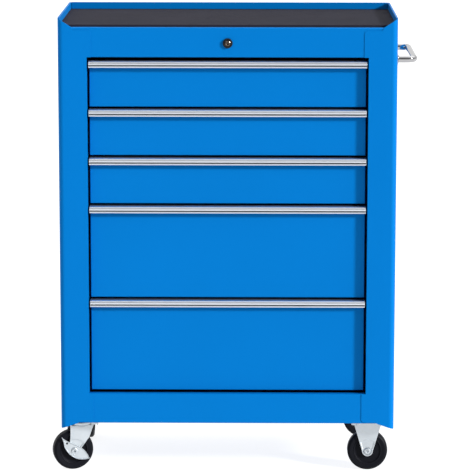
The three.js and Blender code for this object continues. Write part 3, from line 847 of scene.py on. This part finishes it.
def castor_plate(name, node, centre, extra):
    """The top plate with its four bolts. centre is the castor's own upright axis."""
    top = size_of(node)[1].z
    under = top - PLATE_THICKNESS
    half_x, half_y = PLATE_HALF
    plate = rounded_plate(
        Vector((-half_x, -half_y, under)), Vector((half_x, half_y, top)), PLATE_CORNER)
    where = Matrix.Translation(at(centre[0], centre[1], 0)) @ Matrix.Scale(MM, 4)
    add_piece(name, join(plate, *extra), "zinc_plate", "cabinet", [node], where, bevel=0.4)
    bolts = [part for place in BOLT_PLACES for part in hex_bolt(*place, under)]
    add_piece(f"{name}_bolts", join(*bolts), "zinc_plate", "cabinet", (), where, bevel=0.2)


def fixed_castor(end):
    """A plate with two legs, and the wheel on its rivet between them."""
    base = f"fixed_castor_{end}"
    joint = f"fixed_wheel_{end}_spin"
    height = axle_height(joint)
    place = castor_place(joint)
    low, high = size_of(f"{base}_bracket")
    centre = ((low.x + high.x) / 2, (low.y + high.y) / 2)
    top = high.z - LEG_SINK
    borders = tapered([(top, -FIXED_HALF, FIXED_HALF), (height, -LEG_END, LEG_END)], FIXED_ROWS)
    add_piece(
        f"{base}_legs", both_legs(borders, height), "zinc_plate", "cabinet", (), place,
        bevel=0.35, angle=60)
    castor_plate(f"{base}_plate", f"{base}_bracket", centre, [])
    wheel(f"{base}_wheel", joint)
    axle(f"{base}_axle", joint, LEG_FRONT - PLAY)


# A brake lever's outline about the axle: its tips, and the points that its two edges bend towards.
LENS_TOP = (-26.5, 29.8)
LENS_BOTTOM = (28.0, -16.1)
LENS_UNDER = (-14.0, -25.0)
LENS_OVER = ((-10.0, 9.0), (16.0, 16.0))
LENS_SPIKE = (-0.02, 0.26)  # the share of its length over which the upper tip widens
EYE = (-14.2, 14.6)
EYE_RADIUS = 2.0
LEVER_SHEET = 2.0
LEVER_BACK = LEG_FRONT - PLAY
LEVER_FRONT = LEVER_BACK - LEVER_SHEET
LEVER_PRESS = 1.2  # how far the lever is pressed in inside its rim
LEVER_RIM = 1.7
LEVER_TIP = 0.004  # the share of its length by which each tip stops short of a point
LEVER_ROWS = 60
LEVER_COLUMNS = 24


def brake_lever(end):
    """A lens-shaped lever with a raised rim and an eye near its upper tip."""
    joint = f"swivel_wheel_{end}_spin"
    height = axle_height(joint)
    rows = []
    width_at = {}
    for k in range(LEVER_ROWS + 1):
        t = LEVER_TIP + (0.5 - LEVER_TIP) * (1 - math.cos(math.pi * k / LEVER_ROWS))
        under = [
            (1 - t) ** 2 * LENS_TOP[i] + 2 * t * (1 - t) * LENS_UNDER[i] + t * t * LENS_BOTTOM[i]
            for i in (0, 1)]
        over = [
            (1 - t) ** 3 * LENS_TOP[i] + 3 * t * (1 - t) ** 2 * LENS_OVER[0][i]
            + 3 * t * t * (1 - t) * LENS_OVER[1][i] + t ** 3 * LENS_BOTTOM[i]
            for i in (0, 1)]
        spread = smooth_step(t, *LENS_SPIKE)
        under = [b + (a - b) * spread for a, b in zip(under, over)]
        span = math.dist(under, over)
        row = []
        for n in range(LEVER_COLUMNS + 1):
            s = n / LEVER_COLUMNS
            point = tuple(under[i] + (over[i] - under[i]) * s for i in (0, 1))
            width_at[point] = min(s, 1 - s) * span
            row.append(point)
        rows.append(row)

    def front(x, z):
        return LEVER_FRONT + LEVER_PRESS * smooth_step(width_at[(x, z)], LEVER_RIM * 0.5, LEVER_RIM)

    bm = sheet_of(rows, front, lambda x, z: LEVER_BACK)
    bmesh.ops.recalc_face_normals(bm, faces=bm.faces)
    drill = lathe([(0, 2 * LEVER_FRONT), (EYE_RADIUS, 2 * LEVER_FRONT), (EYE_RADIUS, 0), (0, 0)], 24)
    eye = moved(drill, EYE[0], 0, EYE[1])
    add_piece(
        f"swivel_castor_{end}_brake_lever_pressed", moved(cut(bm, eye), 0, 0, height), "zinc_plate",
        f"brake_lever_{end}", [f"swivel_castor_{end}_brake_lever"], castor_place(joint))


def swivel_castor(end):
    """A plate with its race and king pin, the fork with its cup, and the wheel, rivet and lever."""
    base = f"swivel_castor_{end}"
    joint = f"swivel_wheel_{end}_spin"
    height = axle_height(joint)
    place = castor_place(joint)
    pin = Vector(JOINTS[f"swivel_{end}_turn"]["pos_m"])
    trail = math.dist(pin[:2], JOINTS[joint]["pos_m"][:2]) / MM
    cup_top = size_of(f"{base}_fork")[1].z
    top = cup_top - RACE_HEIGHT
    left, right = trail - FORK_HALF, trail + FORK_HALF
    knee = (KNEE_HEIGHT, left + KNEE_LEFT, trail + KNEE_RIGHT)
    borders = tapered([(top, left, right), knee, (height, -LEG_END, LEG_END)], FORK_ROWS)
    fork = f"swivel_fork_{end}"
    add_piece(
        f"{base}_fork_legs", both_legs(borders, height), "zinc_plate", fork, [f"{base}_fork"], place,
        bevel=0.35, angle=60)
    crown = rounded_plate(
        Vector((left, LEG_FRONT, top - LEG_SHEET)), Vector((right, -LEG_FRONT, top)), 2)
    cup = about(lathe([
        (5.6, top - 2.2), (9, top - 2.4), (12.5, top - 4.4), (14, top - 4.6), (15.4, top - 4),
        (21.2, top + 0.4), (22, top + 1.6), (22, top + 4.2), (21.4, cup_top), (5.6, cup_top)], 64), "Z")
    moved(cup, trail)
    add_piece(f"{base}_fork_crown", join(crown, cup), "zinc_plate", fork, (), place, bevel=0.3)
    plate_low, plate_high = size_of(f"{base}_plate")
    centre = (pin - at(0, 0, 0)) / MM
    foot, buried = plate_low.z, plate_high.z - 2
    over = cup_top + RACE_GAP
    race = about(lathe([(0, over), (20.2, over), (21, over + 0.8), (21, buried), (0, buried)], 64), "Z")
    king = about(lathe([
        (0, foot), (6.5, foot), (8.6, foot + 0.9), (9, foot + 2), (9, foot + 3),
        (5, foot + 3), (5, buried), (0, buried)], 40), "Z")
    castor_plate(f"{base}_plate_pressed", f"{base}_plate", (centre.x, centre.y), [race, king])
    wheel(f"{base}_wheel", joint)
    axle(f"{base}_axle", joint, LEVER_FRONT - PLAY)
    brake_lever(end)


for end in ENDS:
    fixed_castor(end)
    swivel_castor(end)

# ---- CAD nodes that show as they are ------------------------------------------------------------

for node, thing in nodes.items():
    thing.data.materials.clear()
    thing.data.materials.append(MATERIALS[SLOT_OF[node]])

# ---- floor, light and camera --------------------------------------------------------------------

FLOOR_HALF = 40.0  # metres
CAMERA_PLACE = at(52.97, -4846.6, 1305.8)
CAMERA_LENS = 206.1
CAMERA_PITCH = 0.1745
CAMERA_YAW = -0.0081
CAMERA_ROLL = 0.0011


def add_floor():
    """A white floor that lights the chest a little from below."""
    bm = bmesh.new()
    bmesh.ops.create_grid(bm, x_segments=8, y_segments=8, size=FLOOR_HALF)
    mesh = bpy.data.meshes.new("floor")
    bm.to_mesh(mesh)
    bm.free()
    floor = bpy.data.objects.new("floor", mesh)
    bpy.context.scene.collection.objects.link(floor)
    shader = Shader("pale_floor", Roughness=0.9, Specular_IOR_Level=0.1)
    tone = shader.noise(0.4, detail=2.0)
    shader.feed("Base Color", shader.blend(tone, (0.19, 0.19, 0.19), (0.22, 0.22, 0.22)))
    shader.surface.inputs["Emission Color"].default_value = (1.0, 1.0, 1.0, 1.0)
    shader.surface.inputs["Emission Strength"].default_value = 0.88
    mesh.materials.append(shader.material)


def add_sun(name, azimuth, elevation, spread, strength):
    """A soft light from far away: azimuth 0 is straight in front of the chest and 90 on its right."""
    data = bpy.data.lights.new(name, "SUN")
    data.energy = strength
    data.angle = math.radians(spread)
    light = bpy.data.objects.new(name, data)
    a, e = math.radians(azimuth), math.radians(elevation)
    towards = Vector((math.sin(a) * math.cos(e), -math.cos(a) * math.cos(e), math.sin(e)))
    light.rotation_euler = towards.to_track_quat("Z", "Y").to_euler()
    bpy.context.scene.collection.objects.link(light)


def add_world():
    """A white studio, brightest overhead and darker in front, where the photographer stands."""
    world = bpy.data.worlds.new("studio")
    world.use_nodes = True
    tree = world.node_tree
    background = tree.nodes["Background"]
    place = tree.nodes.new("ShaderNodeTexCoord").outputs["Generated"]

    def share(direction, start, end, low, high):
        """From low to high as the view turns towards a direction."""
        facing = tree.nodes.new("ShaderNodeVectorMath")
        facing.operation = "DOT_PRODUCT"
        facing.inputs[1].default_value = direction
        tree.links.new(place, facing.inputs[0])
        ramp = tree.nodes.new("ShaderNodeMapRange")
        ramp.interpolation_type = "SMOOTHSTEP"
        limits = {"From Min": start, "From Max": end, "To Min": low, "To Max": high}
        for key, value in limits.items():
            ramp.inputs[key].default_value = value
        tree.links.new(facing.outputs["Value"], ramp.inputs["Value"])
        return ramp.outputs["Result"]

    product = tree.nodes.new("ShaderNodeMath")
    product.operation = "MULTIPLY"
    tree.links.new(share((0.0, 0.0, 1.0), 0.35, 0.75, 0.42, 1.15), product.inputs[0])
    tree.links.new(share((0.0, -1.0, 0.0), -0.80, 0.92, 2.0, 0.30), product.inputs[1])
    background.inputs["Color"].default_value = (1.0, 1.0, 1.0, 1.0)
    tree.links.new(product.outputs["Value"], background.inputs["Strength"])
    bpy.context.scene.world = world


def add_camera():
    """The camera at the photograph's place and angle."""
    data = bpy.data.cameras.new("camera")
    data.sensor_width = 36
    data.lens = CAMERA_LENS
    data.clip_end = 200
    camera = bpy.data.objects.new("camera", data)
    turn = (
        Matrix.Rotation(-CAMERA_YAW, 4, "Z")
        @ Matrix.Rotation(math.pi / 2 - CAMERA_PITCH, 4, "X")
        @ Matrix.Rotation(CAMERA_ROLL, 4, "Z")
    )
    camera.matrix_world = Matrix.Translation(CAMERA_PLACE) @ turn
    bpy.context.scene.collection.objects.link(camera)
    bpy.context.scene.camera = camera


add_floor()
add_world()
add_sun("key", 58, 22, 8, 5.2)
add_sun("fill", -38, 32, 40, 0.35)
add_camera()
bpy.context.scene.view_settings.view_transform = "Standard"
